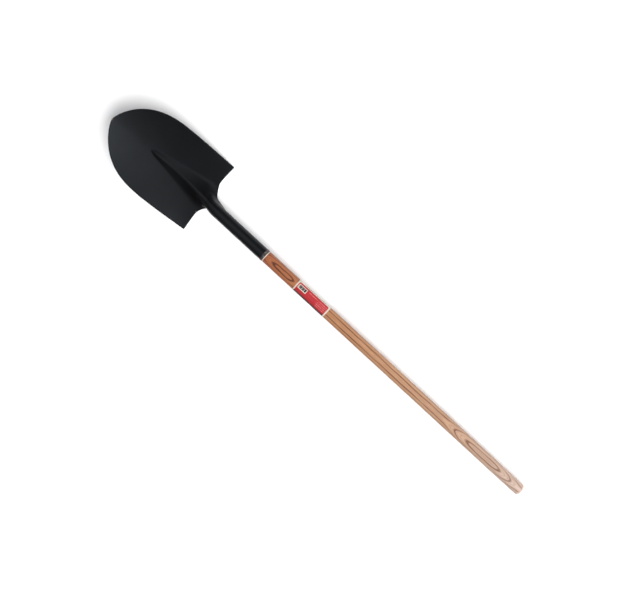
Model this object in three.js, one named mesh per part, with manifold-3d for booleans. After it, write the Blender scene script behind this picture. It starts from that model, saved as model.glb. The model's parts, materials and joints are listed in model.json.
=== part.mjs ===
// Round point shovel: one pressed sheet steel head on a long turned wooden handle.
// Millimetres. The shovel lies on its back, front face up: +X runs along it to the point of the
// blade, +Y across the blade and +Z up. The origin is on the floor under the middle of its box.
//
// Everything is first built along the handle's axis, in the handle frame: x = 0 at the mouth of
// the socket and positive toward the point, y across, z toward the front. One group then tips
// the whole shovel so that its heel and its butt both touch the floor.
import * as THREE from 'three';
import { mergeVertices } from 'three/addons/utils/BufferGeometryUtils.js';
import Module from 'manifold-3d';

const wasm = await Module();
wasm.setup();

// ---------- driving dimensions, handle frame ----------
const FIT_GAP = 0.3;                 // clearance between neighbours
const SHEET = 1.6;                   // thickness of the steel

const SOCKET_RADIUS = 16.25;         // outside of the rolled socket
const SEAM_HALF_GAP = 1.5;           // half the gap between the rolled edges at the back
const SEAM_OPENS_AT = 95;            // the seam starts to open here, into the hollow of the frog
const SEAM_OPEN_AT = 182;            // the section is an open channel from here on
const NECK_HALF_SHEET = 40;          // half the sheet's unrolled width at the neck
const STEP_FILLET = 28;              // scallop between neck and step, on the unrolled sheet
const STEP_INNER_X = 210;            // step edge beside the scallop
const CORNER_X = 206.5;              // step edge at the corner
const CORNER_HALF = 106.2;           // half the blade's width at its corners
const WIDEST_X = 331;
const WIDEST_HALF = 111;
const POINT_X = 511;                 // end of the blade
const NOSE_POWER = 2.8;              // ogive of the nose
const NOSE_ROUND = 0.72;
const SIDE_POWER = 1.5;

const HEEL_Z = -29;                  // floor of the dish at the step
const POINT_Z = 24;                  // and at the point
const LIFT_STRAIGHT = 0.12;          // share of the lift that is straight, the rest curves up
const DISH_POWER = 1.7;
const FROG_TIP_X = 391;
const FROG_NOSE = 15;                // length of the frog's rounded tip

// Stations along the frog, [x, value]: half width at its foot, height above the dish,
// radius of its crest, radius of its foot, and the depth of the dish at the blade's side.
const FROG_HALF = [[178, 31], [192, 33], [210, 39.5], [226, 41], [245, 37.5], [278, 30.5],
  [320, 21.5], [366, 12.5], [391, 8.5]];
const FROG_HEIGHT = [[165, 45], [184, 41.5], [206, 32.5], [220, 28], [236, 23.8], [256, 18.2],
  [276, 13.6], [300, 10], [325, 7.6], [358, 6], [391, 4]];
const CREST_RADIUS = [[155, 16.25], [178, 17], [190, 16.5], [206, 14], [220, 11.5], [236, 10],
  [266, 9], [305, 8], [358, 6.5], [391, 4.5]];
const FOOT_RADIUS = [[178, 14], [210, 24], [234, 22], [278, 15], [320, 9], [368, 5], [391, 4]];
const DISH_DEPTH = [[178, -0.5], [206.5, 4.5], [234, 9.3], [277, 15.5], [320, 19], [350, 20],
  [511, 20]];

const WALK_STEP = 0.5;               // step used to follow a section round the sheet
const HALF_COLUMNS = 15;             // facets from the crest to one edge of the sheet
const SOCKET_ROWS = 4;
const NECK_ROWS = 9;
const FILLET_ROWS = 5;
const STEP_ROWS = 6;
const BLADE_ROWS = 24;
const FILLET_CREST_X = 228;          // where the rows that end on scallop and step meet the crest
const CORNER_CREST_X = 258;
const CORNER_FAN_ROWS = 8;           // rows past the corner that turn to meet the side squarely

const HANDLE_RADIUS = 15.5;          // at the socket
const BUTT_RADIUS = 15;              // the handle tapers a little toward its butt
const BUTT_X = -855;
const BUTT_FLAT = 7.5;               // radius of the flat face on the butt
const BUTT_ROUND = 8;                // length of the rounded edge round it
const TENON_RADIUS = 14.2;           // inside the socket
const TENON_END_RADIUS = 11;
const TENON_END_X = 150;
const TENON_CHAMFER = 3;
const HANDLE_SIDES = 40;

const LABEL_FROM_X = -205;
const LABEL_TO_X = -102;
const LABEL_GAP = 0.25;
const LABEL_THICK = 0.35;

const SCREW_SHANK = 2;               // radius
const SCREW_HEAD = 4;
const SCREW_HEAD_HIGH = 2;
const SCREW_LENGTH = 20;
const SCREW_POINT = 4;
const SCREW_SIDES = 16;
const SCREW_TURN = 28 * Math.PI / 180;  // round from the seam, one screw on each side of it
const SCREWS = [
  { name: 'socket_screw_1', x: 28, side: 1 },
  { name: 'socket_screw_2', x: 66, side: -1 },
];

// ---------- small helpers ----------
function between(a, b, share) {
  return a + (b - a) * share;
}

function easeBetween(from, to, x) {
  const share = THREE.MathUtils.clamp((x - from) / (to - from), 0, 1);
  return share * share * (3 - 2 * share);
}

// Slope at a station, zero at the ends and at a peak, so that the curve never overshoots.
function stationSlope(stations, k) {
  if (k === 0 || k === stations.length - 1) return 0;
  const [before, here, after] = [stations[k - 1], stations[k], stations[k + 1]];
  const left = (here[1] - before[1]) / (here[0] - before[0]);
  const right = (after[1] - here[1]) / (after[0] - here[0]);
  if (left * right <= 0) return 0;
  return 2 * left * right / (left + right);
}

// Smooth curve through stations [x, value], level beyond both ends.
function valueAt(stations, x) {
  const last = stations.length - 1;
  if (x <= stations[0][0]) return stations[0][1];
  if (x >= stations[last][0]) return stations[last][1];
  let k = 0;
  while (x > stations[k + 1][0]) k += 1;
  const [x0, y0] = stations[k];
  const [x1, y1] = stations[k + 1];
  const width = x1 - x0;
  const u = (x - x0) / width;
  const m0 = stationSlope(stations, k) * width;
  const m1 = stationSlope(stations, k + 1) * width;
  const ease = u * u * (3 - 2 * u);
  return between(y0, y1, ease) + u * (1 - u) * ((1 - u) * m0 - u * m1);
}

// ---------- shape of the sheet ----------
function dishFloor(x) {
  const share = Math.max((x - CORNER_X) / (POINT_X - CORNER_X), 0);
  const lift = LIFT_STRAIGHT * share + (1 - LIFT_STRAIGHT) * share * share;
  return between(HEEL_Z, POINT_Z, lift);
}

// 1 along the frog, falling to 0 as a quarter circle at its tip.
function frogNose(x) {
  const share = THREE.MathUtils.clamp((FROG_TIP_X - x) / FROG_NOSE, 0, 1);
  return Math.sqrt(1 - (1 - share) ** 2);
}

// The section at x: a round crest, a straight flank, a hollow foot, then the wing of the blade.
// The flank's angle and length follow from the frog's half width and height.
function sectionAt(x) {
  const half = valueAt(FROG_HALF, x) * frogNose(x);
  const high = valueAt(FROG_HEIGHT, x) * frogNose(x);
  const dish = valueAt(DISH_DEPTH, x);
  if (high < 1e-6) return { top: dishFloor(x), crest: 1, angle: 0, flank: 0, foot: 1, dish };
  const crestWanted = valueAt(CREST_RADIUS, x);
  const footWanted = valueAt(FOOT_RADIUS, x);
  const largest = 0.92 * (half * half + high * high) / (2 * high);
  const shrink = Math.min(1, largest / (crestWanted + footWanted));
  const both = (crestWanted + footWanted) * shrink;
  const reach = Math.hypot(half, both - high);
  const angle = Math.atan2(half, both - high) - Math.acos(Math.min(1, both / reach));
  const flank = Math.sqrt(Math.max(0, reach * reach - both * both));
  const rolled = 1 - easeBetween(SEAM_OPENS_AT, SEAM_OPEN_AT, x);
  const rolledAngle = Math.PI - SEAM_HALF_GAP / SOCKET_RADIUS;
  return {
    top: between(dishFloor(x) + high, SOCKET_RADIUS, rolled),
    crest: crestWanted * shrink,
    angle: between(angle, rolledAngle, rolled),
    flank: flank + 60 * rolled,
    foot: footWanted * shrink,
    dish,
  };
}

// Downward angle of the sheet, s along the section from the crest.
function slopeAt(section, s, y) {
  const flankFrom = section.crest * section.angle;
  const footFrom = flankFrom + section.flank;
  const footTo = footFrom + section.foot * section.angle;
  let angle = 0;
  if (s < flankFrom) angle = s / section.crest;
  else if (s < footFrom) angle = section.angle;
  else if (s < footTo) angle = section.angle - (s - footFrom) / section.foot;
  const rise = (Math.abs(y) / WIDEST_HALF) ** (DISH_POWER - 1);
  return angle - Math.atan(section.dish * DISH_POWER / WIDEST_HALF * rise);
}

// Follows the section at x from the crest until isThere(s, y) says so.
function walk(x, isThere) {
  const section = sectionAt(x);
  let [s, y, z] = [0, 0, section.top];
  while (!isThere(s, y)) {
    const angle = slopeAt(section, s + WALK_STEP / 2, y);
    s += WALK_STEP;
    y += Math.cos(angle) * WALK_STEP;
    z -= Math.sin(angle) * WALK_STEP;
  }
  return { s, y, z, section };
}

// Front face of the sheet at x, s from the crest.
function frontPoint(x, s) {
  const steps = Math.floor(s / WALK_STEP);
  const here = walk(x, (walked) => walked > (steps - 0.5) * WALK_STEP);
  const rest = s - steps * WALK_STEP;
  const angle = slopeAt(here.section, here.s + rest / 2, here.y);
  return new THREE.Vector3(x, here.y + Math.cos(angle) * rest, here.z - Math.sin(angle) * rest);
}

// Normal of the front face there, pointing out of the metal.
function frontNormal(x, s) {
  const along = frontPoint(x + WALK_STEP, s).sub(frontPoint(x - WALK_STEP, s));
  const across = frontPoint(x, s + WALK_STEP / 2).sub(frontPoint(x, Math.max(s - WALK_STEP / 2, 0)));
  return along.cross(across).normalize();
}

// Distance along the section from the crest to the blade's side, half away from the middle.
function sheetToHalfWidth(x, half) {
  if (half <= 0) return 0;
  const here = walk(x, (s, y) => y >= half);
  return here.s - (here.y - half);
}

function bladeHalf(x) {
  if (x >= WIDEST_X) {
    const along = Math.min(1, (x - WIDEST_X) / (POINT_X - WIDEST_X));
    return WIDEST_HALF * Math.max(0, 1 - along ** NOSE_POWER) ** NOSE_ROUND;
  }
  const back = (WIDEST_X - x) / (WIDEST_X - CORNER_X);
  return between(WIDEST_HALF, CORNER_HALF, back ** SIDE_POWER);
}

// ---------- rows of the sheet, from the socket's mouth to the point ----------
// A row runs from the crest, at crestX, to the sheet's edge, at edgeX and an unrolled distance
// sheet from the crest. Along the scallop and the step the rows turn back to meet the edge
// squarely: turn is 0 where a row ends straight across and a quarter turn where it ends
// pointing back along the shovel.
function sheetRows() {
  const rolledHalf = SOCKET_RADIUS * Math.PI - SEAM_HALF_GAP;
  const filletX = STEP_INNER_X - STEP_FILLET;
  const stepSheet = NECK_HALF_SHEET + STEP_FILLET;
  const cornerSheet = sheetToHalfWidth(CORNER_X, CORNER_HALF);
  const quarter = Math.PI / 2;
  const rows = [];
  for (let k = 0; k < SOCKET_ROWS; k += 1) {
    const x = SEAM_OPENS_AT * k / SOCKET_ROWS;
    rows.push({ crestX: x, edgeX: x, sheet: rolledHalf, turn: 0 });
  }
  for (let k = 0; k < NECK_ROWS; k += 1) {
    const x = between(SEAM_OPENS_AT, filletX, k / NECK_ROWS);
    const sheet = between(rolledHalf, NECK_HALF_SHEET, easeBetween(SEAM_OPENS_AT, filletX, x));
    rows.push({ crestX: x, edgeX: x, sheet, turn: 0 });
  }
  for (let k = 0; k < FILLET_ROWS; k += 1) {
    const turn = quarter * k / FILLET_ROWS;
    rows.push({
      crestX: between(filletX, FILLET_CREST_X, k / FILLET_ROWS),
      edgeX: filletX + STEP_FILLET * Math.sin(turn),
      sheet: NECK_HALF_SHEET + STEP_FILLET * (1 - Math.cos(turn)),
      turn,
    });
  }
  for (let k = 0; k < STEP_ROWS; k += 1) {
    const share = k / STEP_ROWS;
    rows.push({
      crestX: between(FILLET_CREST_X, CORNER_CREST_X, share),
      edgeX: between(STEP_INNER_X, CORNER_X, share ** 1.5),
      sheet: between(stepSheet, cornerSheet, share),
      turn: quarter * (1 - share ** 2 / 2),
    });
  }
  for (let k = 0; k < BLADE_ROWS; k += 1) {
    const along = between(k / BLADE_ROWS, Math.sin(quarter * k / BLADE_ROWS), 0.5);
    const x = between(CORNER_X, POINT_X, along);
    rows.push({
      crestX: between(CORNER_CREST_X, POINT_X, along),
      edgeX: x,
      sheet: sheetToHalfWidth(x, bladeHalf(x)),
      turn: quarter / 2 * Math.max(0, 1 - k / CORNER_FAN_ROWS),
    });
  }
  return rows;
}

// A point of the unrolled row, share of the way from the crest to the edge, on a cubic curve.
function rowPlace(row, share) {
  const reach = between(row.sheet / 3, 0.8 * Math.abs(row.crestX - row.edgeX), Math.sin(row.turn));
  const rest = 1 - share;
  const weights = [rest ** 3, 3 * rest * rest * share, 3 * rest * share * share, share ** 3];
  const xs = [row.crestX, row.crestX, row.edgeX + reach * Math.sin(row.turn), row.edgeX];
  const ss = [0, row.sheet / 3, row.sheet - reach * Math.cos(row.turn), row.sheet];
  const mix = (values) => values.reduce((sum, value, k) => sum + value * weights[k], 0);
  return { x: mix(xs), s: mix(ss) };
}

// Front and back points of one row, from its left edge over the crest to its right edge.
function rowPoints(row) {
  const crowd = 0.45 * easeBetween(SEAM_OPEN_AT, CORNER_CREST_X, row.crestX);
  const front = [];
  const back = [];
  for (let k = -HALF_COLUMNS; k <= HALF_COLUMNS; k += 1) {
    const v = Math.abs(k) / HALF_COLUMNS;
    const { x, s } = rowPlace(row, between(v, v ** 3, crowd));
    const side = new THREE.Vector3(1, Math.sign(k), 1);
    const point = frontPoint(x, s);
    front.push(point.clone().multiply(side));
    back.push(point.addScaledVector(frontNormal(x, s), -SHEET).multiply(side));
  }
  return { front, back };
}

// One closed body of even thickness through all rows and the point that ends them.
function sheetBody(rows) {
  const columns = 2 * HALF_COLUMNS + 1;
  const count = rows.length;
  const point = frontPoint(POINT_X, 0);
  const pointBack = point.clone().addScaledVector(frontNormal(POINT_X, 0), -SHEET);
  const fronts = [...rows.flatMap((row) => row.front), point];
  const backs = [...rows.flatMap((row) => row.back), pointBack];
  const positions = [...fronts, ...backs].flatMap((p) => [p.x, p.y, p.z]);
  const front = (i, k) => (i < count ? i * columns + k : count * columns);
  const back = (i, k) => fronts.length + front(i, k);
  const index = [];
  const quad = (a, b, c, d) => {
    if (a !== b && b !== c && a !== c) index.push(a, b, c);
    if (a !== c && c !== d && a !== d) index.push(a, c, d);
  };
  for (let i = 0; i < count; i += 1) {
    for (let k = 0; k < columns - 1; k += 1) {
      quad(front(i, k), front(i + 1, k), front(i + 1, k + 1), front(i, k + 1));
      quad(back(i, k), back(i, k + 1), back(i + 1, k + 1), back(i + 1, k));
    }
    quad(front(i, 0), back(i, 0), back(i + 1, 0), front(i + 1, 0));
    quad(front(i, columns - 1), front(i + 1, columns - 1), back(i + 1, columns - 1),
      back(i, columns - 1));
  }
  for (let k = 0; k < columns - 1; k += 1) {
    quad(front(0, k), front(0, k + 1), back(0, k + 1), back(0, k));
  }
  const geometry = new THREE.BufferGeometry();
  geometry.setAttribute('position', new THREE.Float32BufferAttribute(positions, 3));
  geometry.setIndex(index);
  return geometry;
}

// ---------- cutting ----------
function toSolid(geometry) {
  const bare = geometry.clone();
  bare.deleteAttribute('normal');
  bare.deleteAttribute('uv');
  const merged = mergeVertices(bare, 1e-4);
  const vertProperties = new Float32Array(merged.attributes.position.array);
  const triVerts = new Uint32Array(merged.index.array);
  return new wasm.Manifold(new wasm.Mesh({ numProp: 3, vertProperties, triVerts }));
}

function cutAway(geometry, cutters) {
  const solid = cutters.reduce((left, cutter) => left.subtract(toSolid(cutter)), toSolid(geometry));
  const mesh = solid.getMesh();
  const result = new THREE.BufferGeometry();
  result.setAttribute('position', new THREE.Float32BufferAttribute(mesh.vertProperties, 3));
  result.setIndex([...mesh.triVerts]);
  return result;
}

// ---------- screws at the back of the socket ----------
// A screw's own axis is +Y, its head at the top and y = 0 on the outside of the socket.
function screwShape(grow) {
  const seat = FIT_GAP;
  const profile = [
    [0, -SCREW_LENGTH - grow],
    [SCREW_SHANK + grow, SCREW_POINT - SCREW_LENGTH],
    [SCREW_SHANK + grow, seat],
    [SCREW_HEAD, seat],
    [SCREW_HEAD, seat + SCREW_HEAD_HIGH * 0.4],
    [SCREW_HEAD * 0.75, seat + SCREW_HEAD_HIGH * 0.85],
    [0, seat + SCREW_HEAD_HIGH],
  ];
  return new THREE.LatheGeometry(profile.map(([r, y]) => new THREE.Vector2(r, y)), SCREW_SIDES);
}

function placeScrew(target, screw) {
  target.rotateX(-Math.PI / 2);
  target.rotateX(screw.side * SCREW_TURN);
  target.translate(screw.x, screw.side * Math.sin(SCREW_TURN) * SOCKET_RADIUS,
    -Math.cos(SCREW_TURN) * SOCKET_RADIUS);
  return target;
}

function screwHoles() {
  return SCREWS.map((screw) => placeScrew(screwShape(FIT_GAP), screw));
}

// ---------- pieces ----------
function bladeAndSocket() {
  return cutAway(sheetBody(sheetRows().map(rowPoints)), screwHoles());
}

function turned(profile) {
  const geometry = new THREE.LatheGeometry(
    profile.map(([x, r]) => new THREE.Vector2(r, x)), HANDLE_SIDES);
  return geometry.rotateZ(-Math.PI / 2);
}

function handleRadius(x) {
  return between(HANDLE_RADIUS, BUTT_RADIUS, x / BUTT_X);
}

function handle() {
  const roundSteps = 5;
  const profile = [[BUTT_X, 0]];
  for (let k = 0; k <= roundSteps; k += 1) {
    const turn = Math.PI / 2 * k / roundSteps;
    const radius = BUTT_FLAT + (BUTT_RADIUS - BUTT_FLAT) * Math.sin(turn);
    profile.push([BUTT_X + BUTT_ROUND * (1 - Math.cos(turn)), radius]);
  }
  profile.push(
    [-FIT_GAP, HANDLE_RADIUS],
    [-FIT_GAP, TENON_RADIUS],
    [TENON_END_X - TENON_CHAMFER, TENON_END_RADIUS],
    [TENON_END_X, TENON_END_RADIUS - TENON_CHAMFER],
    [TENON_END_X, 0],
  );
  return cutAway(turned(profile), screwHoles());
}

function handleLabel() {
  const inner = (x) => handleRadius(x) + LABEL_GAP;
  const outer = (x) => inner(x) + LABEL_THICK;
  return turned([
    [LABEL_FROM_X, inner(LABEL_FROM_X)],
    [LABEL_FROM_X, outer(LABEL_FROM_X)],
    [LABEL_TO_X, outer(LABEL_TO_X)],
    [LABEL_TO_X, inner(LABEL_TO_X)],
    [LABEL_FROM_X, inner(LABEL_FROM_X)],
  ]);
}

function named(name, geometry, colour, roughness, metalness) {
  const material = new THREE.MeshStandardMaterial({ color: colour, roughness, metalness });
  const mesh = new THREE.Mesh(geometry, material);
  mesh.name = name;
  return mesh;
}

// ---------- assembly ----------
// Height of the lowest point of a piece when the point of the blade is tipped up by angle.
function lowest(mesh, angle) {
  const position = mesh.geometry.attributes.position;
  let low = Infinity;
  for (let i = 0; i < position.count; i += 1) {
    const z = position.getX(i) * Math.sin(angle) + position.getZ(i) * Math.cos(angle);
    low = Math.min(low, z);
  }
  return low;
}

// The tilt at which the heel of the blade and the butt of the handle both touch the floor.
function restAngle(head, stick) {
  let [low, high] = [0, Math.PI / 36];
  for (let k = 0; k < 30; k += 1) {
    const middle = (low + high) / 2;
    if (lowest(head, middle) < lowest(stick, middle)) low = middle;
    else high = middle;
  }
  return (low + high) / 2;
}

const headMesh = named('blade_and_socket', bladeAndSocket(), '#2c2e31', 0.35, 0.55);
const handleMesh = named('handle', handle(), '#c09b7f', 0.5, 0);
const labelMesh = named('handle_label', handleLabel(), '#c5383e', 0.4, 0);
const screwMeshes = SCREWS.map((screw) => (
  named(screw.name, placeScrew(screwShape(0), screw), '#a9a8a4', 0.4, 0.9)));

const shovel = new THREE.Group();
shovel.add(headMesh, handleMesh, labelMesh, ...screwMeshes);
shovel.rotation.y = -restAngle(headMesh, handleMesh);
shovel.updateMatrixWorld(true);
const box = new THREE.Box3().setFromObject(shovel, true);
shovel.position.set(-(box.min.x + box.max.x) / 2, -(box.min.y + box.max.y) / 2, -box.min.z);

const part = new THREE.Group();
part.add(shovel);

export default part;
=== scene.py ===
"""Looks of the round point shovel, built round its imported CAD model.

Lengths are in metres, in the row frame: the shovel lies on its back along +X, front face up.
Each piece is shaped in the handle frame, x = 0 at the mouth of the socket and positive toward the
point of the blade, y across and z toward the front, and its points are then put in the row frame.
"""

import json
import math

import bpy
import numpy as np
from mathutils import Matrix, Vector


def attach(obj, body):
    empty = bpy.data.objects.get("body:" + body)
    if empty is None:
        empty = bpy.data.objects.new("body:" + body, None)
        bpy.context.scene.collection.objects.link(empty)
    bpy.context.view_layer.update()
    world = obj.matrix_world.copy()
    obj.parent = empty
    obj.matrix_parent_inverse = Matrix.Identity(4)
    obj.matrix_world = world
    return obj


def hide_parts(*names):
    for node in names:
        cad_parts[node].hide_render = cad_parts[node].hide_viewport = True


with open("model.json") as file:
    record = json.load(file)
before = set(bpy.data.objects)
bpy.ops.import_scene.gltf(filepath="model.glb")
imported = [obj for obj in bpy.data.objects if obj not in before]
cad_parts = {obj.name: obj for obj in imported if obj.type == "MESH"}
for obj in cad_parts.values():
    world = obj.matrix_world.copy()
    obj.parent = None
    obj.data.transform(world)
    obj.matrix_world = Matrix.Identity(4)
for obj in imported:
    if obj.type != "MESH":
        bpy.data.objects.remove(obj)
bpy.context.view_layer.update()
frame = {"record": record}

# ---------- dimensions of the head, the same as the CAD sheet's ----------
MM = 0.001
SHEET = 1.6 * MM
SOCKET_RADIUS = 16.25 * MM
SEAM_HALF_GAP = 1.5 * MM
SEAM_OPENS_AT = 95 * MM
SEAM_OPEN_AT = 182 * MM
NECK_HALF_SHEET = 40 * MM
STEP_FILLET = 28 * MM
STEP_INNER_X = 210 * MM
CORNER_X = 206.5 * MM
CORNER_HALF = 106.2 * MM
WIDEST_X = 331 * MM
WIDEST_HALF = 111 * MM
POINT_X = 511 * MM
NOSE_POWER = 2.8
NOSE_ROUND = 0.72
SIDE_POWER = 1.5
HEEL_Z = -29 * MM
POINT_Z = 24 * MM
LIFT_STRAIGHT = 0.12
DISH_POWER = 1.7
FROG_TIP_X = 391 * MM
FROG_NOSE = 15 * MM

# Stations along the frog, (x, value) in millimetres.
FROG_HALF = [(178, 31), (192, 33), (210, 39.5), (226, 41), (245, 37.5), (278, 30.5),
             (320, 21.5), (366, 12.5), (391, 8.5)]
FROG_HEIGHT = [(165, 45), (184, 41.5), (206, 32.5), (220, 28), (236, 23.8), (256, 18.2),
               (276, 13.6), (300, 10), (325, 7.6), (358, 6), (391, 4)]
CREST_RADIUS = [(155, 16.25), (178, 17), (190, 16.5), (206, 14), (220, 11.5), (236, 10),
                (266, 9), (305, 8), (358, 6.5), (391, 4.5)]
FOOT_RADIUS = [(178, 14), (210, 24), (234, 22), (278, 15), (320, 9), (368, 5), (391, 4)]
DISH_DEPTH = [(178, -0.5), (206.5, 4.5), (234, 9.3), (277, 15.5), (320, 19), (350, 20), (511, 20)]

HALF_COLUMNS = 60                # facets from the crest to one edge of the sheet
SOCKET_ROWS = 10
NECK_ROWS = 36
FILLET_ROWS = 18
STEP_ROWS = 22
BLADE_ROWS = 120
FILLET_CREST_X = 228 * MM
CORNER_CREST_X = 258 * MM
CORNER_FAN_SHARE = 0.33          # share of the blade's rows that turn to meet its side squarely
WALK_STEPS = 220                 # steps that follow a section from the crest to its edge
EDGE_ROUND = 0.35 * MM           # softened edges of the sheet

# ---------- handle, label and screws ----------
HANDLE_RADIUS = 15.5 * MM
BUTT_RADIUS = 15 * MM
BUTT_X = -855 * MM
BUTT_FLAT = 7.5 * MM
BUTT_ROUND = 8 * MM
TENON_RADIUS = 14.2 * MM
TENON_END_RADIUS = 11 * MM
TENON_END_X = 150 * MM
HANDLE_SIDES = 144

LABEL_FROM_X = -205 * MM
LABEL_TO_X = -102 * MM
LABEL_LIFT = 0.06 * MM           # glue under the paper
LABEL_THICK = 0.18 * MM
LABEL_OVERLAP = 0.45             # radians of the wrap that lie double, at the back

# Print on the label: places along the handle and round it, from the middle of the front.
PRINT_PANEL = ((-201.3 * MM, -105.7 * MM), (-18.8 * MM, 10.0 * MM))
PRINT_STRIP = ((-200.8 * MM, -105.0 * MM), (7.9 * MM, 19.0 * MM))
PRINT_BLOCK = ((-134.5 * MM, -108.5 * MM), (-13.8 * MM, -2.2 * MM))
PRINT_BARS = ((-132.5 * MM, -110.5 * MM), (-12.2 * MM, -4.0 * MM))
PRINT_TICKS = ((-190 * MM, -125 * MM), (-23.6 * MM, -20.6 * MM))
TICKS_PER_METRE = 190.0
PRINT_ROW = 4.6 * MM             # spacing of the rows of broken lines

SCREW_HEAD = 4 * MM
SCREW_HEAD_HIGH = 1.9 * MM
SCREW_SEAT = 0.3 * MM
SCREW_SHANK = 2 * MM
SCREW_LENGTH = 20 * MM
SCREW_TURN = math.radians(28)
SCREWS = [("socket_screw_1", 28 * MM, 1), ("socket_screw_2", 66 * MM, -1)]

# ---------- grain of the handle ----------
RING_WIDTH = 5.0 * MM
PITH_DEPTH = 0.16                # from the handle's axis back to the middle of the tree
GRAIN_ASIDE = 1.2 * MM           # the grain's middle line lies this far to one side
RING_AT_MIDDLE = 0.32            # share of a ring reached on that line
RING_DRIFT = 0.42                # rings that the lines wander by, slowly
RING_SWAY = 0.25                 # and quickly
GRAIN_LOOPS = [(-57 * MM, 45 * MM, 0.83), (-724 * MM, 93 * MM, 1.98)]   # middle, reach, rings

# ---------- camera ----------
CAMERA_DISTANCE = 2.8
CAMERA_ROLL = math.radians(20)       # round the shovel, from straight above toward -Y
CAMERA_SLIDE = math.radians(-1.4)    # along it, toward the butt
LOOK_AT = Vector((-0.1679, -0.0138, -0.0050))
AXIS_ANGLE = math.radians(42.63)     # the handle falls to the right at this angle in the view
LENS = 63.5
FLOOR_HALF = 900                     # half the floor's side, its edge close to the horizon

# ---------- light ----------
DOME_BRIGHT = 1.0
FAR_SIDE = 0.36                      # share of the light that is left toward +Y
NEAR_SIDE = 0.35                     # and toward -Y
LOW_SIDE = 0.15                      # and just above the horizon, all round
PANEL_BRIGHT = 4.5                   # a wide soft panel past the butt
PANEL_EDGE_X = (-0.52, -0.24)        # where the panel fades, as parts of a direction
PANEL_EDGE_Y = (0.42, 0.60)
FAR_FADE = (-0.05, 0.55)             # where the light fades toward +Y
NEAR_FADE = (-0.32, -0.62)           # toward -Y
LOW_FADE = (0.62, 0.30)              # and toward the horizon
DOME_COLOUR = (1.0, 1.0, 1.01, 1)


# ---------- handle frame ----------
def handle_frame():
    """Matrix from the handle frame to the row frame, from the flat face of the butt."""
    butt = next(m for m in frame["record"]["mounts"] if m["name"] == "butt_face")
    along = -Vector(butt["axis"]).normalized()
    across = Vector((0, 1, 0))
    front = along.cross(across)
    origin = Vector(butt["pos_m"]) - along * BUTT_X
    place = Matrix((along, across, front)).transposed().to_4x4()
    place.translation = origin
    return place


TO_ROW = handle_frame()


# ---------- small helpers ----------
def between(a, b, share):
    return a + (b - a) * share


def ease(low, high, x):
    share = np.clip((x - low) / (high - low), 0, 1)
    return share * share * (3 - 2 * share)


def value_at(stations, x):
    """Smooth curve through stations given in millimetres, level beyond both ends."""
    at, value = np.array(stations, float).T * MM
    rise = np.diff(value) / np.diff(at)
    both = rise[:-1] * rise[1:]
    total = rise[:-1] + rise[1:]
    slope = np.zeros(len(at))
    slope[1:-1] = np.where(both > 0, 2 * both / np.where(both > 0, total, 1), 0)
    x = np.clip(x, at[0], at[-1])
    k = np.clip(np.searchsorted(at, x) - 1, 0, len(at) - 2)
    width = at[k + 1] - at[k]
    u = (x - at[k]) / width
    curve = between(value[k], value[k + 1], u * u * (3 - 2 * u))
    return curve + u * (1 - u) * width * ((1 - u) * slope[k] - u * slope[k + 1])


def make_object(name, points, faces, material, smooth=True):
    mesh = bpy.data.meshes.new(name)
    mesh.from_pydata([tuple(p) for p in points], [], faces)
    mesh.validate()
    mesh.polygons.foreach_set("use_smooth", [smooth] * len(mesh.polygons))
    mesh.materials.append(material)
    piece = bpy.data.objects.new(name, mesh)
    bpy.context.scene.collection.objects.link(piece)
    return piece


def add_piece(piece, node):
    """Puts a piece made in the handle frame in place of a CAD node."""
    piece.data.transform(TO_ROW)
    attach(piece, "root")
    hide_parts(node)
    return piece


# ---------- shape of the sheet ----------
def dish_floor(x):
    share = np.maximum((x - CORNER_X) / (POINT_X - CORNER_X), 0)
    return between(HEEL_Z, POINT_Z, LIFT_STRAIGHT * share + (1 - LIFT_STRAIGHT) * share * share)


def sections(x):
    """Height of the crest, its radius, the flank's angle and length, the foot's radius."""
    nose = np.clip((FROG_TIP_X - x) / FROG_NOSE, 0, 1)
    nose = np.sqrt(1 - (1 - nose) ** 2)
    half = np.maximum(value_at(FROG_HALF, x) * nose, 1e-9)
    high = np.maximum(value_at(FROG_HEIGHT, x) * nose, 1e-10)
    crest = value_at(CREST_RADIUS, x)
    foot = value_at(FOOT_RADIUS, x)
    shrink = np.minimum(1, 0.92 * (half ** 2 + high ** 2) / (2 * high) / (crest + foot))
    both = (crest + foot) * shrink
    reach = np.hypot(half, both - high)
    angle = np.arctan2(half, both - high) - np.arccos(np.minimum(1, both / reach))
    flank = np.sqrt(np.maximum(0, reach ** 2 - both ** 2))
    rolled = 1 - ease(SEAM_OPENS_AT, SEAM_OPEN_AT, x)
    return {
        "top": between(dish_floor(x) + high, SOCKET_RADIUS, rolled),
        "crest": crest * shrink,
        "angle": between(angle, math.pi - SEAM_HALF_GAP / SOCKET_RADIUS, rolled),
        "flank": flank + 60 * MM * rolled,
        "foot": foot * shrink,
        "dish": value_at(DISH_DEPTH, x),
    }


def slope_at(cut, s, y):
    """Downward angle of the sheet, s along each section from the crest."""
    flank_from = cut["crest"] * cut["angle"]
    foot_from = flank_from + cut["flank"]
    climb = np.minimum(s / cut["crest"], cut["angle"])
    level = np.clip((s - foot_from) / cut["foot"], 0, cut["angle"])
    rise = (np.abs(y) / WIDEST_HALF) ** (DISH_POWER - 1)
    return climb - level - np.arctan(cut["dish"] * DISH_POWER / WIDEST_HALF * rise)


def front_points(x, s):
    """Front face of the sheet at each x, s from the crest."""
    cut = sections(x)
    step = s / WALK_STEPS
    y = np.zeros_like(x)
    z = cut["top"].copy()
    for k in range(WALK_STEPS):
        angle = slope_at(cut, step * (k + 0.5), y)
        y = y + np.cos(angle) * step
        z = z - np.sin(angle) * step
    return np.stack([x, y, z], -1)


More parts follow.
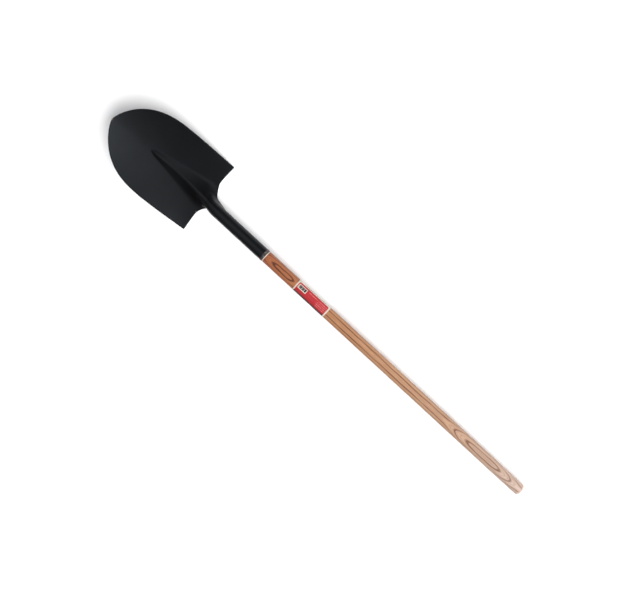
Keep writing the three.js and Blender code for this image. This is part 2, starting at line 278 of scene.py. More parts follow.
def sheet_to_half_width(x, half):
    """Distance along each section from the crest to where it is half wide."""
    cut = sections(x)
    step = 0.25 * MM
    y = np.zeros_like(x)
    found = np.zeros_like(x)
    for k in range(int(0.16 / step)):
        angle = slope_at(cut, step * (k + 0.5), y)
        inside = y < half
        found = np.where(inside, step * k + (half - y) / np.maximum(np.cos(angle), 0.05), found)
        y = y + np.cos(angle) * step
    return np.where(half > 0, found, 0)


def blade_half(x):
    nose = np.clip((x - WIDEST_X) / (POINT_X - WIDEST_X), 0, 1)
    heel = np.clip((WIDEST_X - x) / (WIDEST_X - CORNER_X), 0, 1)
    front = WIDEST_HALF * (1 - nose ** NOSE_POWER) ** NOSE_ROUND
    return front - (WIDEST_HALF - CORNER_HALF) * heel ** SIDE_POWER


# ---------- rows of the sheet, from the socket's mouth to the point ----------
def sheet_rows():
    """Arrays crest x, edge x, unrolled half width and turn, one value a row."""
    quarter = math.pi / 2
    rolled_half = SOCKET_RADIUS * math.pi - SEAM_HALF_GAP
    fillet_x = STEP_INNER_X - STEP_FILLET
    corner_sheet = sheet_to_half_width(np.array([CORNER_X]), np.array([CORNER_HALF]))[0]
    rows = []
    for k in range(SOCKET_ROWS):
        x = SEAM_OPENS_AT * k / SOCKET_ROWS
        rows.append((x, x, rolled_half, 0))
    for k in range(NECK_ROWS):
        x = between(SEAM_OPENS_AT, fillet_x, k / NECK_ROWS)
        sheet = between(rolled_half, NECK_HALF_SHEET, ease(SEAM_OPENS_AT, fillet_x, x))
        rows.append((x, x, sheet, 0))
    for k in range(FILLET_ROWS):
        turn = quarter * k / FILLET_ROWS
        rows.append((
            between(fillet_x, FILLET_CREST_X, k / FILLET_ROWS),
            fillet_x + STEP_FILLET * math.sin(turn),
            NECK_HALF_SHEET + STEP_FILLET * (1 - math.cos(turn)),
            turn,
        ))
    for k in range(STEP_ROWS):
        share = k / STEP_ROWS
        rows.append((
            between(FILLET_CREST_X, CORNER_CREST_X, share),
            between(STEP_INNER_X, CORNER_X, share ** 1.5),
            between(NECK_HALF_SHEET + STEP_FILLET, corner_sheet, share),
            quarter * (1 - share ** 2 / 2),
        ))
    count = np.arange(BLADE_ROWS) / BLADE_ROWS
    along = between(count, np.sin(quarter * count), 0.5)
    edge_x = between(CORNER_X, POINT_X, along)
    blade = np.stack([
        between(CORNER_CREST_X, POINT_X, along),
        edge_x,
        sheet_to_half_width(edge_x, blade_half(edge_x)),
        quarter / 2 * np.maximum(0, 1 - count / CORNER_FAN_SHARE),
    ], -1)
    return np.vstack([np.array(rows), blade]).T


def row_places():
    """x and s of every grid point from the crest to the edge, one row of the grid a row."""
    crest_x, edge_x, sheet, turn = (a[:, None] for a in sheet_rows())
    v = np.linspace(0, 1, HALF_COLUMNS + 1)[None, :]
    crowd = 0.45 * ease(SEAM_OPEN_AT, CORNER_CREST_X, crest_x)
    share = between(v, v ** 3, crowd)
    rest = 1 - share
    reach = between(sheet / 3, 0.8 * np.abs(crest_x - edge_x), np.sin(turn))
    weights = [rest ** 3, 3 * rest ** 2 * share, 3 * rest * share ** 2, share ** 3]
    xs = [crest_x, crest_x, edge_x + reach * np.sin(turn), edge_x]
    ss = [0 * sheet, sheet / 3, sheet - reach * np.cos(turn), sheet]
    x = sum(a * w for a, w in zip(xs, weights))
    s = sum(a * w for a, w in zip(ss, weights))
    return x, s


def unit(vectors):
    return vectors / np.maximum(np.linalg.norm(vectors, axis=-1, keepdims=True), 1e-12)


def mirrored(half):
    """A full row from its half: left edge, crest, right edge."""
    left = half[:, :0:-1] * np.array([1, -1, 1])
    return np.concatenate([left, half], axis=1)


def head_mesh():
    """Points and faces of the sheet: loops of front, right edge, back and left edge points."""
    x, s = row_places()
    probe = 0.2 * MM
    front = front_points(x, s)
    along = front_points(x + probe, s) - front_points(x - probe, s)
    across = front_points(x, s + probe) - front_points(x, np.maximum(s - probe, 0))
    normal = unit(np.cross(along, across))
    front, normal = mirrored(front), mirrored(normal)
    back = front - normal * SHEET
    edges = []
    for side in (-1, 0):
        inward = unit(front[:, 1 if side == 0 else -2] - front[:, side])
        rim = front[:, side].copy()
        edges.append((rim - normal[:, side] * EDGE_ROUND,
                      rim - normal[:, side] * (SHEET - EDGE_ROUND)))
        front[:, side] += inward * EDGE_ROUND
        back[:, side] += inward * EDGE_ROUND
    (right_a, right_b), (left_a, left_b) = edges
    lip_a = front[0] - normal[0] * EDGE_ROUND
    lip_b = front[0] - normal[0] * (SHEET - EDGE_ROUND)
    front[0, :, 0] += EDGE_ROUND
    back[0, :, 0] += EDGE_ROUND
    loops = np.concatenate([front, right_a[:, None], right_b[:, None], back[:, ::-1],
                            left_b[:, None], left_a[:, None]], axis=1)
    rows, size = loops.shape[:2]
    columns = front.shape[1]
    point = front_points(np.array([POINT_X]), np.array([0.0]))[0]
    point_normal = normal[-1, columns // 2]
    tips = np.array([point - point_normal * EDGE_ROUND,
                     point - point_normal * (SHEET - EDGE_ROUND)])
    points = np.concatenate([loops.reshape(-1, 3), lip_a, lip_b, tips])
    faces = []
    for i in range(rows - 1):
        for k in range(size):
            a, b = i * size + k, i * size + (k + 1) % size
            faces.append((a, a + size, b + size, b))
    last = (rows - 1) * size
    tip_a = rows * size + 2 * columns
    tip_b = tip_a + 1
    for k in range(size):
        a, b = last + k, last + (k + 1) % size
        front_side = k < columns or k == size - 1
        back_side = columns < k < size - 2
        if front_side:
            faces.append((a, tip_a, b))
        elif back_side:
            faces.append((a, tip_b, b))
        else:
            faces.append((a, tip_a, tip_b, b) if k == columns else (a, tip_b, tip_a, b))
    faces += lip_faces(rows * size, columns, size)
    return points, faces


def lip_faces(lip_from, columns, size):
    """The ring that closes the socket's mouth, from the front face round to the back face."""
    faces = []

    def lip(ring, k):
        return lip_from + ring * columns + k

    def back(k):
        return 2 * columns + 1 - k

    for k in range(columns - 1):
        faces.append((k, k + 1, lip(0, k + 1), lip(0, k)))
        faces.append((lip(0, k), lip(0, k + 1), lip(1, k + 1), lip(1, k)))
        faces.append((lip(1, k), lip(1, k + 1), back(k + 1), back(k)))
    right, left = columns - 1, 0
    faces += [(right, columns, lip(0, right)),
              (columns, columns + 1, lip(1, right), lip(0, right)),
              (columns + 1, columns + 2, lip(1, right)),
              (size - 1, left, lip(0, left)),
              (size - 2, size - 1, lip(0, left), lip(1, left)),
              (size - 3, size - 2, lip(1, left))]
    return faces


# ---------- node graphs ----------
class Graph:
    """Short calls for building one material's nodes."""

    def __init__(self, name):
        self.material = bpy.data.materials.new(name)
        self.material.use_nodes = True
        self.tree = self.material.node_tree
        self.shader = self.tree.nodes["Principled BSDF"] if "Principled BSDF" in self.tree.nodes \
            else self.add("ShaderNodeBsdfPrincipled")

    def add(self, kind, **settings):
        node = self.tree.nodes.new(kind)
        for key, value in settings.items():
            setattr(node, key, value)
        return node

    def join(self, value, socket):
        if isinstance(value, bpy.types.NodeSocket):
            self.tree.links.new(value, socket)
        else:
            socket.default_value = value

    def math(self, operation, *values, clamp=False):
        node = self.add("ShaderNodeMath", operation=operation, use_clamp=clamp)
        for value, socket in zip(values, node.inputs):
            self.join(value, socket)
        return node.outputs[0]

    def plus(self, a, b):
        return self.math("ADD", a, b)

    def minus(self, a, b):
        return self.math("SUBTRACT", a, b)

    def times(self, a, b):
        return self.math("MULTIPLY", a, b)

    def step(self, value, low, high, to_low=0.0, to_high=1.0):
        """Smooth step of value from low to high."""
        node = self.add("ShaderNodeMapRange", interpolation_type="SMOOTHSTEP")
        for socket, given in zip(node.inputs, (value, low, high, to_low, to_high)):
            self.join(given, socket)
        return node.outputs[0]

    def inside(self, value, low, high, soft):
        """1 between low and high, with edges soft wide."""
        rise = self.step(value, low - soft, low + soft)
        fall = self.step(value, high - soft, high + soft, 1.0, 0.0)
        return self.times(rise, fall)

    def place(self):
        """The point in the handle frame, whole and as x, y, z."""
        to_handle = self.add("ShaderNodeMapping")
        self.join(self.add("ShaderNodeTexCoord").outputs["Object"], to_handle.inputs["Vector"])
        to_handle.inputs["Location"].default_value = TO_ROW.inverted().to_translation()
        to_handle.inputs["Rotation"].default_value = TO_ROW.inverted().to_euler()
        whole = to_handle.outputs[0]
        parts = self.add("ShaderNodeSeparateXYZ")
        self.join(whole, parts.inputs[0])
        return whole, *parts.outputs

    def stretched(self, whole, scale, shift=(0, 0, 0)):
        node = self.add("ShaderNodeMapping")
        self.join(whole, node.inputs["Vector"])
        node.inputs["Scale"].default_value = scale
        node.inputs["Location"].default_value = shift
        return node.outputs[0]

    def noise(self, vector, scale, detail=3.0, rough=0.5, distort=0.0):
        node = self.add("ShaderNodeTexNoise")
        self.join(vector, node.inputs["Vector"])
        node.inputs["Scale"].default_value = scale
        node.inputs["Detail"].default_value = detail
        node.inputs["Roughness"].default_value = rough
        node.inputs["Distortion"].default_value = distort
        return node.outputs["Fac"]

    def ramp(self, value, stops):
        node = self.add("ShaderNodeValToRGB")
        self.join(value, node.inputs[0])
        ramp = node.color_ramp
        while len(ramp.elements) > 1:
            ramp.elements.remove(ramp.elements[-1])
        for k, (at, colour) in enumerate(stops):
            spot = ramp.elements[0] if k == 0 else ramp.elements.new(at)
            spot.position = at
            spot.color = (*colour, 1) if len(colour) == 3 else colour
        return node.outputs[0]

    def mix(self, share, a, b, blend="MIX"):
        node = self.add("ShaderNodeMix", data_type="RGBA", blend_type=blend)
        self.join(share, node.inputs[0])
        for value, socket in zip((a, b), (node.inputs[6], node.inputs[7])):
            self.join((*value, 1) if isinstance(value, tuple) and len(value) == 3 else value, socket)
        return node.outputs[2]

    def blend(self, share, a, b):
        """Number mix of a and b."""
        return self.plus(a, self.times(self.minus(b, a), share))

    def bump(self, height, strength, distance, under=None):
        node = self.add("ShaderNodeBump")
        node.inputs["Strength"].default_value = strength
        node.inputs["Distance"].default_value = distance
        self.join(height, node.inputs["Height"])
        if under is not None:
            self.join(under, node.inputs["Normal"])
        return node.outputs[0]

    def set(self, name, value):
        if isinstance(value, tuple) and len(value) == 3 and "Color" in name:
            value = (*value, 1)
        self.join(value, self.shader.inputs[name])


def srgb(red, green, blue):
    """A colour given as on screen, 0 to 255, as linear light."""
    def linear(c):
        c /= 255
        return c / 12.92 if c <= 0.04045 else ((c + 0.055) / 1.055) ** 2.4
    return tuple(linear(c) for c in (red, green, blue))


# Pale and dark wood from the butt to the socket.
WOOD_PALE = [(0.0, srgb(190, 168, 155)), (0.12, srgb(184, 158, 138)), (0.3, srgb(180, 146, 118)),
             (0.5, srgb(180, 141, 107)), (0.74, srgb(174, 127, 89)), (0.9, srgb(160, 101, 65)),
             (1.0, srgb(152, 90, 56))]
WOOD_DARK = [(0.0, srgb(112, 82, 66)), (0.3, srgb(102, 58, 38)), (0.5, srgb(96, 47, 27)),
             (0.74, srgb(82, 36, 18)), (1.0, srgb(64, 26, 12))]


def steel_material():
    """Black lacquer over steel, bare at the socket's lip and worn at the blade's point."""
    g = Graph("black_lacquered_steel")
    whole, x, y, z = g.place()
    cloud = g.noise(whole, 14, 4, 0.6)
    peel = g.noise(whole, 650, 2, 0.5)
    grit = g.noise(whole, 2600, 2, 0.6)
    waves = g.noise(g.stretched(whole, (9, 14, 14)), 1, 2, 0.5)
    paint = g.mix(cloud, srgb(7, 7, 8), srgb(12, 12, 13))
    colour, worn = worn_paint(g, whole, x, y, paint)
    ragged = g.times(g.minus(g.noise(whole, 420, 3, 0.6), 0.5), 0.0022)
    band = g.step(g.plus(x, ragged), 0.0086, 0.0094, 1.0, 0.0)
    lip = g.step(x, 0.0007, 0.0011, 1.0, 0.0)
    flecks = g.noise(g.stretched(whole, (300, 520, 520), (0, 1.7, 3)), 1, 3, 0.65)
    scale = g.ramp(flecks, [(0.40, srgb(34, 28, 26)), (0.54, srgb(52, 44, 42)),
                            (0.62, srgb(84, 73, 70)), (0.70, srgb(180, 170, 164))])
    bare = g.mix(grit, srgb(196, 190, 182), srgb(222, 217, 210))
    colour = g.mix(band, colour, scale)
    colour = g.mix(lip, colour, bare)
    g.set("Base Color", colour)
    g.set("Metallic", g.math("MAXIMUM", g.times(lip, 0.35), g.times(worn, 0.5)))
    g.set("Specular IOR Level", 0.205)
    g.set("Specular Tint", (0.82, 0.91, 1.0, 1.0))
    rough = g.plus(g.plus(0.24, g.times(cloud, 0.10)), g.times(grit, 0.04))
    g.set("Roughness", g.blend(band, rough, 0.6))
    low = g.bump(waves, 0.2, 0.003)
    fine = g.bump(peel, 0.10, 0.0006, low)
    g.set("Normal", g.bump(g.plus(grit, g.times(flecks, band)), 0.08, 0.0003, fine))
    return g.material


def worn_paint(g, whole, x, y, paint):
    """Paint with fine scratches along the blade and rubbed steel at its point."""
    out = g.math("SQRT", g.plus(g.math("POWER", g.minus(x, POINT_X), 2.0),
                                g.math("POWER", y, 2.0)))
    chip = g.noise(whole, 260, 4, 0.7)
    near_point = g.step(out, 0.0015, 0.0085, 1.0, 0.0)
    point = g.step(g.plus(chip, g.times(near_point, 0.35)), 0.78, 0.88)
    scratches = g.noise(g.stretched(whole, (16, 900, 200), (4, 0, 2)), 1, 3, 0.6)
    low_blade = g.step(x, 0.33, 0.50)
    scratched = g.times(g.step(scratches, 0.66, 0.74), g.times(low_blade, 0.22))
    colour = g.mix(scratched, paint, srgb(58, 60, 62))
    return g.mix(point, colour, srgb(118, 96, 78)), point


def wood_material():
    """Clear finished hardwood: growth rings cut along the handle, fibres and pores."""
    g = Graph("handle_wood")
    whole, x, y, z = g.place()
    side, face = seen_side(g, y, z)
    side = g.minus(side, GRAIN_ASIDE)
    rings = growth_rings(g, whole, x, side, face)
    turn = g.math("FRACT", g.plus(rings, 8.0))
    late = g.ramp(turn, [(0.0, (1, 1, 1)), (0.05, (1, 1, 1)), (0.11, (0.2, 0.2, 0.2)),
                         (0.25, (0, 0, 0)), (0.8, (0.06, 0.06, 0.06)), (0.90, (0.35, 0.35, 0.35)),
                         (0.96, (1, 1, 1)), (1.0, (1, 1, 1))])
    broken = g.noise(g.stretched(whole, (9, 160, 160), (0, 5, 2)), 1, 4, 0.65)
    late = g.times(late, g.step(broken, 0.28, 0.50, 0.5, 1.0))
    between = g.math("FRACT", g.plus(g.times(rings, 3.0), 24.3))
    early = g.ramp(between, [(0.0, (1, 1, 1)), (0.22, (0, 0, 0)), (0.7, (0, 0, 0)), (1.0, (1, 1, 1))])
    fibre = g.noise(g.stretched(whole, (10, 700, 700)), 1, 4, 0.6)
    streak = g.step(g.noise(g.stretched(whole, (6, 330, 330), (7, 3, 1)), 1, 3, 0.6), 0.52, 0.68)
    pore = g.step(g.noise(g.stretched(whole, (60, 1900, 1900)), 1, 2, 0.5), 0.58, 0.68)
    share = g.math("DIVIDE", g.minus(x, BUTT_X), -BUTT_X)
    base = g.ramp(share, WOOD_PALE)
    dark = g.ramp(share, WOOD_DARK)
    colour = g.mix(g.times(early, 0.3), base, dark)
    colour = g.mix(g.times(late, 0.95), colour, dark)
    colour = g.mix(g.times(streak, 0.25), colour, dark)
    colour = g.mix(g.step(fibre, 0.35, 0.7, 0.0, 0.25), colour, dark)
    colour = g.mix(g.times(pore, 0.25), colour, dark)
    g.set("Base Color", colour)
    g.set("Roughness", g.plus(0.40, g.times(fibre, 0.16)))
    g.set("Specular IOR Level", 0.3)
    lines = g.bump(late, 0.10, 0.0008)
    hair = g.bump(fibre, 0.16, 0.0005, lines)
    g.set("Normal", g.bump(pore, -0.25, 0.0003, hair))
    return g.material


def seen_side(g, y, z):
    """Across and toward the front, turned to the side of the board the grain was cut on."""
    cos, sin = math.cos(CAMERA_ROLL), math.sin(CAMERA_ROLL)
    side = g.plus(g.times(y, cos), g.times(z, sin))
    face = g.plus(g.times(y, -sin), g.times(z, cos))
    return side, face


def growth_rings(g, whole, x, side, face):
    """Number of rings from the middle of the front: closed loops where it swells along x."""
    pith = g.plus(face, PITH_DEPTH)
    depth = g.math("SQRT", g.plus(g.math("POWER", pith, 2.0), g.math("POWER", side, 2.0)))
    rings = g.times(g.minus(depth, PITH_DEPTH + HANDLE_RADIUS), 1 / RING_WIDTH)
    drift = g.noise(g.stretched(whole, (7, 12, 12), (2, 0, 5)), 1, 2, 0.5)
    sway = g.noise(g.stretched(whole, (30, 110, 110), (3, 1, 7)), 1, 3, 0.55)
    rings = g.plus(rings, g.times(g.minus(drift, 0.5), RING_DRIFT))
    rings = g.plus(rings, g.times(g.minus(sway, 0.5), RING_SWAY))
    for middle, reach, swell in GRAIN_LOOPS:
        away = g.math("POWER", g.math("ABSOLUTE", g.times(g.minus(x, middle), 1 / reach)), 4.0)
        rings = g.plus(rings, g.times(g.math("EXPONENT", g.times(away, -1.0)), swell))
    return g.plus(rings, RING_AT_MIDDLE)


def label_material():
    """Printed paper: red panel with round corners, dark edge strip, blank bars and lines."""
    g = Graph("printed_label")
    whole, x, y, z = g.place()
    turn = g.times(g.math("ARCTAN2", y, z), HANDLE_RADIUS)
    fibre = g.noise(whole, 1500, 3, 0.6)
    cream = g.mix(fibre, srgb(180, 171, 158), srgb(195, 186, 175))
    red = g.mix(g.noise(whole, 60, 3, 0.5), srgb(150, 33, 38), srgb(160, 39, 44))
    black = srgb(23, 21, 24)
    panel = rounded_box(g, x, turn, *PRINT_PANEL, 0.0045)
    strip = printed(g, x, turn, PRINT_STRIP, 0.0002, 0.0002)
    breaks = g.step(g.noise(g.stretched(whole, (110, 1, 1)), 1, 2, 0.5), 0.62, 0.66)
    block = rounded_box(g, x, turn, *PRINT_BLOCK, 0.0008)
    colour = g.mix(panel, cream, red)
    colour = g.mix(strip, colour, black)
    colour = g.mix(g.times(g.times(strip, breaks), 0.6), colour, srgb(141, 105, 79))
    colour = g.mix(block, colour, cream)
    colour = g.mix(bar_marks(g, x, turn), colour, black)
    colour = g.mix(edge_marks(g, x, turn), colour, srgb(92, 70, 52))
    colour = g.mix(line_marks(g, x, turn), colour, srgb(212, 141, 139))
    g.set("Base Color", colour)
    g.set("Roughness", g.plus(0.38, g.times(fibre, 0.12)))
    g.set("Specular IOR Level", 0.3)
    g.set("Normal", g.bump(g.noise(whole, 240, 2, 0.5), 0.15, 0.0004))
    return g.material


def rounded_box(g, a, b, a_range, b_range, corner):
    """1 inside a rectangle with round corners, in two coordinates."""
    def beyond(value, low, high):
        centred = g.math("ABSOLUTE", g.minus(value, (low + high) / 2))
        return g.math("MAXIMUM", g.minus(centred, (high - low) / 2 - corner), 0.0)
    over_a = beyond(a, *a_range)
    over_b = beyond(b, *b_range)
    gap = g.math("SQRT", g.plus(g.math("POWER", over_a, 2.0), g.math("POWER", over_b, 2.0)))
    return g.step(gap, corner - 0.0002, corner + 0.0002, 1.0, 0.0)


def printed(g, x, turn, place, soft_x, soft_turn):
    """1 inside a printed rectangle, with its soft edges along and round the handle."""
    along, around = place
    return g.times(g.inside(x, *along, soft_x), g.inside(turn, *around, soft_turn))


def flat_noise(g, a, b, scale_a, scale_b, detail=1):
    """Noise over two coordinates, each with its own scale."""
    point = g.add("ShaderNodeCombineXYZ")
    g.join(g.times(a, scale_a), point.inputs[0])
    g.join(g.times(b, scale_b), point.inputs[1])
    return g.noise(point.outputs[0], 1, detail, 0.5)


def bar_marks(g, x, turn):
    """Plain dark bars of uneven width on the pale block."""
    bars = g.step(flat_noise(g, x, turn, 900.0, 0.0), 0.56, 0.60, 1.0, 0.0)
    shown = printed(g, x, turn, PRINT_BARS, 0.0001, 0.0001)
    return g.times(bars, shown)


def edge_marks(g, x, turn):
    """Row of small dark ticks along the pale border of the panel."""
    ticks = g.inside(g.math("FRACT", g.times(x, TICKS_PER_METRE)), 0.25, 0.75, 0.08)
    shown = printed(g, x, turn, PRINT_TICKS, 0.002, 0.0003)
    return g.times(ticks, shown)


def line_marks(g, x, turn):
    """Rows of broken thin lines, where small print would be."""
    row = g.inside(g.math("FRACT", g.times(turn, 1 / PRINT_ROW)), 0.30, 0.56, 0.05)
    dashes = g.step(flat_noise(g, x, turn, 420.0, 450.0), 0.42, 0.48)
    upper = g.times(g.inside(x, -0.182, -0.1405, 0.0002), g.inside(turn, -0.0132, -0.0110, 0.0001))
    lower = g.times(g.inside(x, -0.1985, -0.1700, 0.002), g.inside(turn, -0.0132, 0.0050, 0.0001))
    shown = g.math("MAXIMUM", upper, lower)
    return g.times(g.times(g.times(row, dashes), shown), 0.8)


def screw_material():
    g = Graph("zinc_plated_steel")
    whole, x, y, z = g.place()
    cloud = g.noise(whole, 400, 3, 0.6)
    g.set("Base Color", g.mix(cloud, srgb(150, 148, 140), srgb(190, 188, 180)))
    g.set("Metallic", 0.9)
    g.set("Roughness", g.plus(0.3, g.times(cloud, 0.2)))
    g.set("Normal", g.bump(g.noise(whole, 2500, 2, 0.5), 0.2, 0.0002))
    return g.material


def floor_material():
    g = Graph("studio_floor")
    whole, x, y, z = g.place()
    g.set("Base Color", g.mix(g.noise(whole, 3, 2, 0.5), (0.89, 0.89, 0.89), (0.91, 0.91, 0.91)))
    g.set("Roughness", 0.9)
    g.set("Specular IOR Level", 0.1)
    return g.material


# ---------- turned pieces ----------
def turned(profile, sides, wobble=None):
    """Points and faces of a body turned about x. profile is (x, radius), first and last on x."""
    points = [(profile[0][0], 0, 0)]
    turns = np.linspace(0, 2 * math.pi, sides, endpoint=False)
    for x, radius in profile[1:-1]:
        for turn in turns:
            r = radius + (wobble(x, turn) if wobble else 0)
            points.append((x, r * math.cos(turn), r * math.sin(turn)))
    points.append((profile[-1][0], 0, 0))
    faces = []
    rings = len(profile) - 2
    for k in range(sides):
        after = (k + 1) % sides
        faces.append((0, 1 + after, 1 + k))
        for i in range(rings - 1):
            a, b = 1 + i * sides + k, 1 + i * sides + after
            faces.append((a, b, b + sides, a + sides))
        end = 1 + (rings - 1) * sides
        faces.append((end + k, end + after, len(points) - 1))
    return points, faces


def handle_radius(x):
    return between(HANDLE_RADIUS, BUTT_RADIUS, x / BUTT_X)


def handle_profile():
    profile = [(BUTT_X, 0), (BUTT_X, BUTT_FLAT * 0.6), (BUTT_X, BUTT_FLAT * 0.95)]
    for k in range(13):
        turn = math.pi / 2 * k / 12
        radius = BUTT_FLAT + (BUTT_RADIUS - BUTT_FLAT) * math.sin(turn)
        profile.append((BUTT_X + BUTT_ROUND * (1 - math.cos(turn)), radius))
    for x in np.arange(BUTT_X + BUTT_ROUND + 0.008, -0.004, 0.008):
        profile.append((x, handle_radius(x)))
    profile += [(-0.8 * MM, HANDLE_RADIUS), (-0.4 * MM, HANDLE_RADIUS - 0.25 * MM),
                (-0.3 * MM, TENON_RADIUS + 0.2 * MM), (-0.1 * MM, TENON_RADIUS)]
    for share in np.linspace(0.05, 1, 16):
        x = (TENON_END_X - 3 * MM) * share
        profile.append((x, between(TENON_RADIUS, TENON_END_RADIUS, share)))
    profile += [(TENON_END_X, TENON_END_RADIUS - 3 * MM), (TENON_END_X, 4 * MM), (TENON_END_X, 0)]
    return profile


def turning_wobble(x, turn):
    """The slight out-of-round of a turned and sanded stick, never proud of its size."""
    if x <= BUTT_X + BUTT_ROUND or x >= -0.02:
        return 0
    wave = math.sin(2 * turn + 9 * x) + 0.6 * math.sin(3 * turn - 14 * x + 1)
    return 0.05 * MM * (wave - 1.6)


def make_handle():
    points, faces = turned(handle_profile(), HANDLE_SIDES, turning_wobble)
    return add_piece(make_object("wood_handle", points, faces, wood_material()),
                     "handle")


def label_ring(turned_by):
    """Cross-section of the paper at one angle: its outer face, then its inner face."""
    tail = ease(2 * math.pi - 0.2, 2 * math.pi, turned_by)
    lift = LABEL_LIFT + tail * (LABEL_THICK + 0.02 * MM)
    soft = 0.05 * MM
    rows = np.concatenate([[LABEL_FROM_X, LABEL_FROM_X + soft],
                           np.linspace(LABEL_FROM_X + 1 * MM, LABEL_TO_X - 1 * MM, 52),
                           [LABEL_TO_X - soft, LABEL_TO_X]])
    low = handle_radius(rows) + lift
    thick = np.full(len(rows), LABEL_THICK)
    thick[[0, -1]] *= 0.6
    ripple = 0.02 * MM * (np.sin(5 * turned_by + 60 * rows) + 1)
    outer = np.stack([rows, low + thick + ripple], -1)
    return np.concatenate([outer, np.stack([rows, low], -1)[::-1]])


def make_label():
    """A paper wrapped once round the wood, its tail glued over its start at the back."""
    turns = np.linspace(0, 2 * math.pi + LABEL_OVERLAP, HANDLE_SIDES + 12)
    points, faces = [], []
    for turned_by in turns:
        at = turned_by - math.pi / 2
        for x, radius in label_ring(turned_by):
            points.append((x, radius * math.cos(at), radius * math.sin(at)))
    size = len(points) // len(turns)
    for k in range(len(turns) - 1):
        for j in range(size):
            a, b = k * size + j, k * size + (j + 1) % size
            faces.append((a, b, b + size, a + size))
    half = size // 2
    last = (len(turns) - 1) * size
    for j in range(half - 1):
        faces.append((j, size - 1 - j, size - 2 - j, j + 1))
        faces.append((last + j, last + j + 1, last + size - 2 - j, last + size - 1 - j))
    return add_piece(make_object("wrapped_label", points, faces, label_material()),
                     "handle_label")


def make_head():
    points, faces = head_mesh()
    return add_piece(make_object("pressed_steel_head", points, faces, steel_material()),
                     "blade_and_socket")


def screw_points(sides=48, rings=22):
    """A round-headed screw with a cross recess, its axis up z, z = 0 on the socket."""
    points, faces = [], []

    def ring(radius, height):
        for k in range(sides):
            turn = 2 * math.pi * k / sides
            a, b = radius * math.cos(turn), radius * math.sin(turn)
            points.append((a, b, height(a, b)))

    def dome(a, b):
        out = math.hypot(a, b) / SCREW_HEAD
        top = SCREW_SEAT + SCREW_HEAD_HIGH * (0.25 + 0.75 * math.sqrt(max(0, 1 - out ** 2.4)))
        arm, width = 0.58 * SCREW_HEAD, 0.14 * SCREW_HEAD
        near = min(max(abs(a) / arm, abs(b) / width), max(abs(b) / arm, abs(a) / width))
        sink = min(1, max(0, (1.15 - near) / 0.3))
        return top - 1.1 * MM * sink * (1 - 0.5 * out)

    points.append((0, 0, dome(0, 0)))
    for i in range(1, rings + 1):
        ring(SCREW_HEAD * i / rings, dome)
    for radius, height in [(SCREW_HEAD, SCREW_SEAT), (SCREW_SHANK, SCREW_SEAT),
                           (SCREW_SHANK, 4 * MM - SCREW_LENGTH), (0.3 * MM, -SCREW_LENGTH)]:
        ring(radius, lambda a, b, h=height: h)
    points.append((0, 0, -SCREW_LENGTH - 0.1 * MM))
    total = rings + 4
    for k in range(sides):
        after = (k + 1) % sides
        faces.append((0, 1 + k, 1 + after))
        for i in range(total - 1):
            a, b = 1 + i * sides + k, 1 + i * sides + after
            faces.append((a, a + sides, b + sides, b))
        end = 1 + (total - 1) * sides
        faces.append((end + k, len(points) - 1, end + after))
    return points, faces


def make_screws():
    points, faces = screw_points()
    material = screw_material()
    for node, x, side in SCREWS:
        out = Vector((0, side * math.sin(SCREW_TURN), -math.cos(SCREW_TURN)))
        place = Matrix.Translation(Vector((x, 0, 0)) + out * SOCKET_RADIUS)
        place = place @ out.to_track_quat("Z", "X").to_matrix().to_4x4()
        moved = [place @ Vector(p) for p in points]
        add_piece(make_object(node + "_cross_head", moved, faces, material), node)


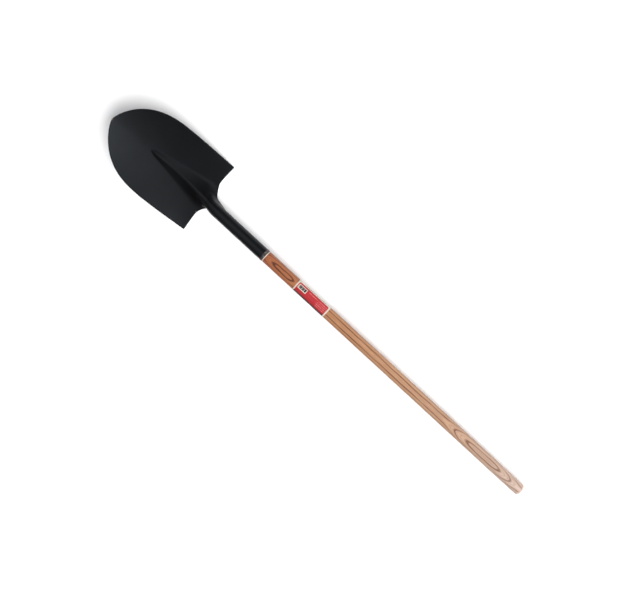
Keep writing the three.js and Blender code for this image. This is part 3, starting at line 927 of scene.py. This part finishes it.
# ---------- studio ----------
def make_camera():
    """The photograph's view: from above and a little to the -Y side, handle to lower right."""
    roll, slide = CAMERA_ROLL, CAMERA_SLIDE
    toward = Vector((math.sin(slide), -math.sin(roll) * math.cos(slide),
                     math.cos(roll) * math.cos(slide)))
    butt_ward = (-Vector((1, 0, 0)) + toward.x * toward).normalized()
    sideways = toward.cross(butt_ward).normalized()
    if sideways.y < 0:
        sideways = -sideways
    right = math.cos(AXIS_ANGLE) * butt_ward - math.sin(AXIS_ANGLE) * sideways
    up = -(math.sin(AXIS_ANGLE) * butt_ward + math.cos(AXIS_ANGLE) * sideways)
    camera = bpy.data.objects.new("camera", bpy.data.cameras.new("camera"))
    bpy.context.scene.collection.objects.link(camera)
    camera.data.sensor_width = 36
    camera.data.lens = LENS
    turned_to = Matrix((right, up, toward)).transposed().to_4x4()
    turned_to.translation = LOOK_AT + toward * CAMERA_DISTANCE
    camera.matrix_world = TO_ROW @ turned_to
    bpy.context.scene.camera = camera


def make_dome():
    """A soft dome of light with a wide bright panel past the butt, dim toward both sides."""
    world = bpy.data.worlds.new("studio_dome")
    world.use_nodes = True
    bpy.context.scene.world = world
    tree = world.node_tree
    sky = tree.nodes["Background"]

    def node(kind, *values, **settings):
        made = tree.nodes.new(kind)
        for key, value in settings.items():
            setattr(made, key, value)
        for value, socket in zip(values, made.inputs):
            if isinstance(value, bpy.types.NodeSocket):
                tree.links.new(value, socket)
            else:
                socket.default_value = value
        return made.outputs[0]

    def falls(value, start, end, left):
        """1 before start, smoothly down to what is left past end."""
        return node("ShaderNodeMapRange", value, start, end, 1.0, left,
                    interpolation_type="SMOOTHSTEP")

    def times(a, b):
        return node("ShaderNodeMath", a, b, operation="MULTIPLY")

    way = tree.nodes.new("ShaderNodeTexCoord").outputs["Generated"]
    parts = tree.nodes.new("ShaderNodeSeparateXYZ")
    tree.links.new(way, parts.inputs[0])
    x, y, z = parts.outputs
    panel = times(falls(x, *PANEL_EDGE_X, 0.0), falls(y, *PANEL_EDGE_Y, 0.0))
    sides = times(falls(y, *FAR_FADE, FAR_SIDE), falls(y, *NEAR_FADE, NEAR_SIDE))
    dome = times(times(sides, falls(z, *LOW_FADE, LOW_SIDE)), DOME_BRIGHT)
    bright = node("ShaderNodeMath", dome, times(panel, PANEL_BRIGHT), operation="ADD")
    tree.links.new(bright, sky.inputs[1])
    sky.inputs[0].default_value = DOME_COLOUR


def make_studio():
    far = FLOOR_HALF
    corners = [(-far, -far, 0), (far, -far, 0), (far, far, 0), (-far, far, 0)]
    floor = make_object("studio_floor", corners, [(0, 1, 2, 3)], floor_material(), smooth=False)
    make_dome()
    bpy.context.scene.view_settings.view_transform = "Standard"


make_camera()
make_studio()
make_head()
make_handle()
make_label()
make_screws()
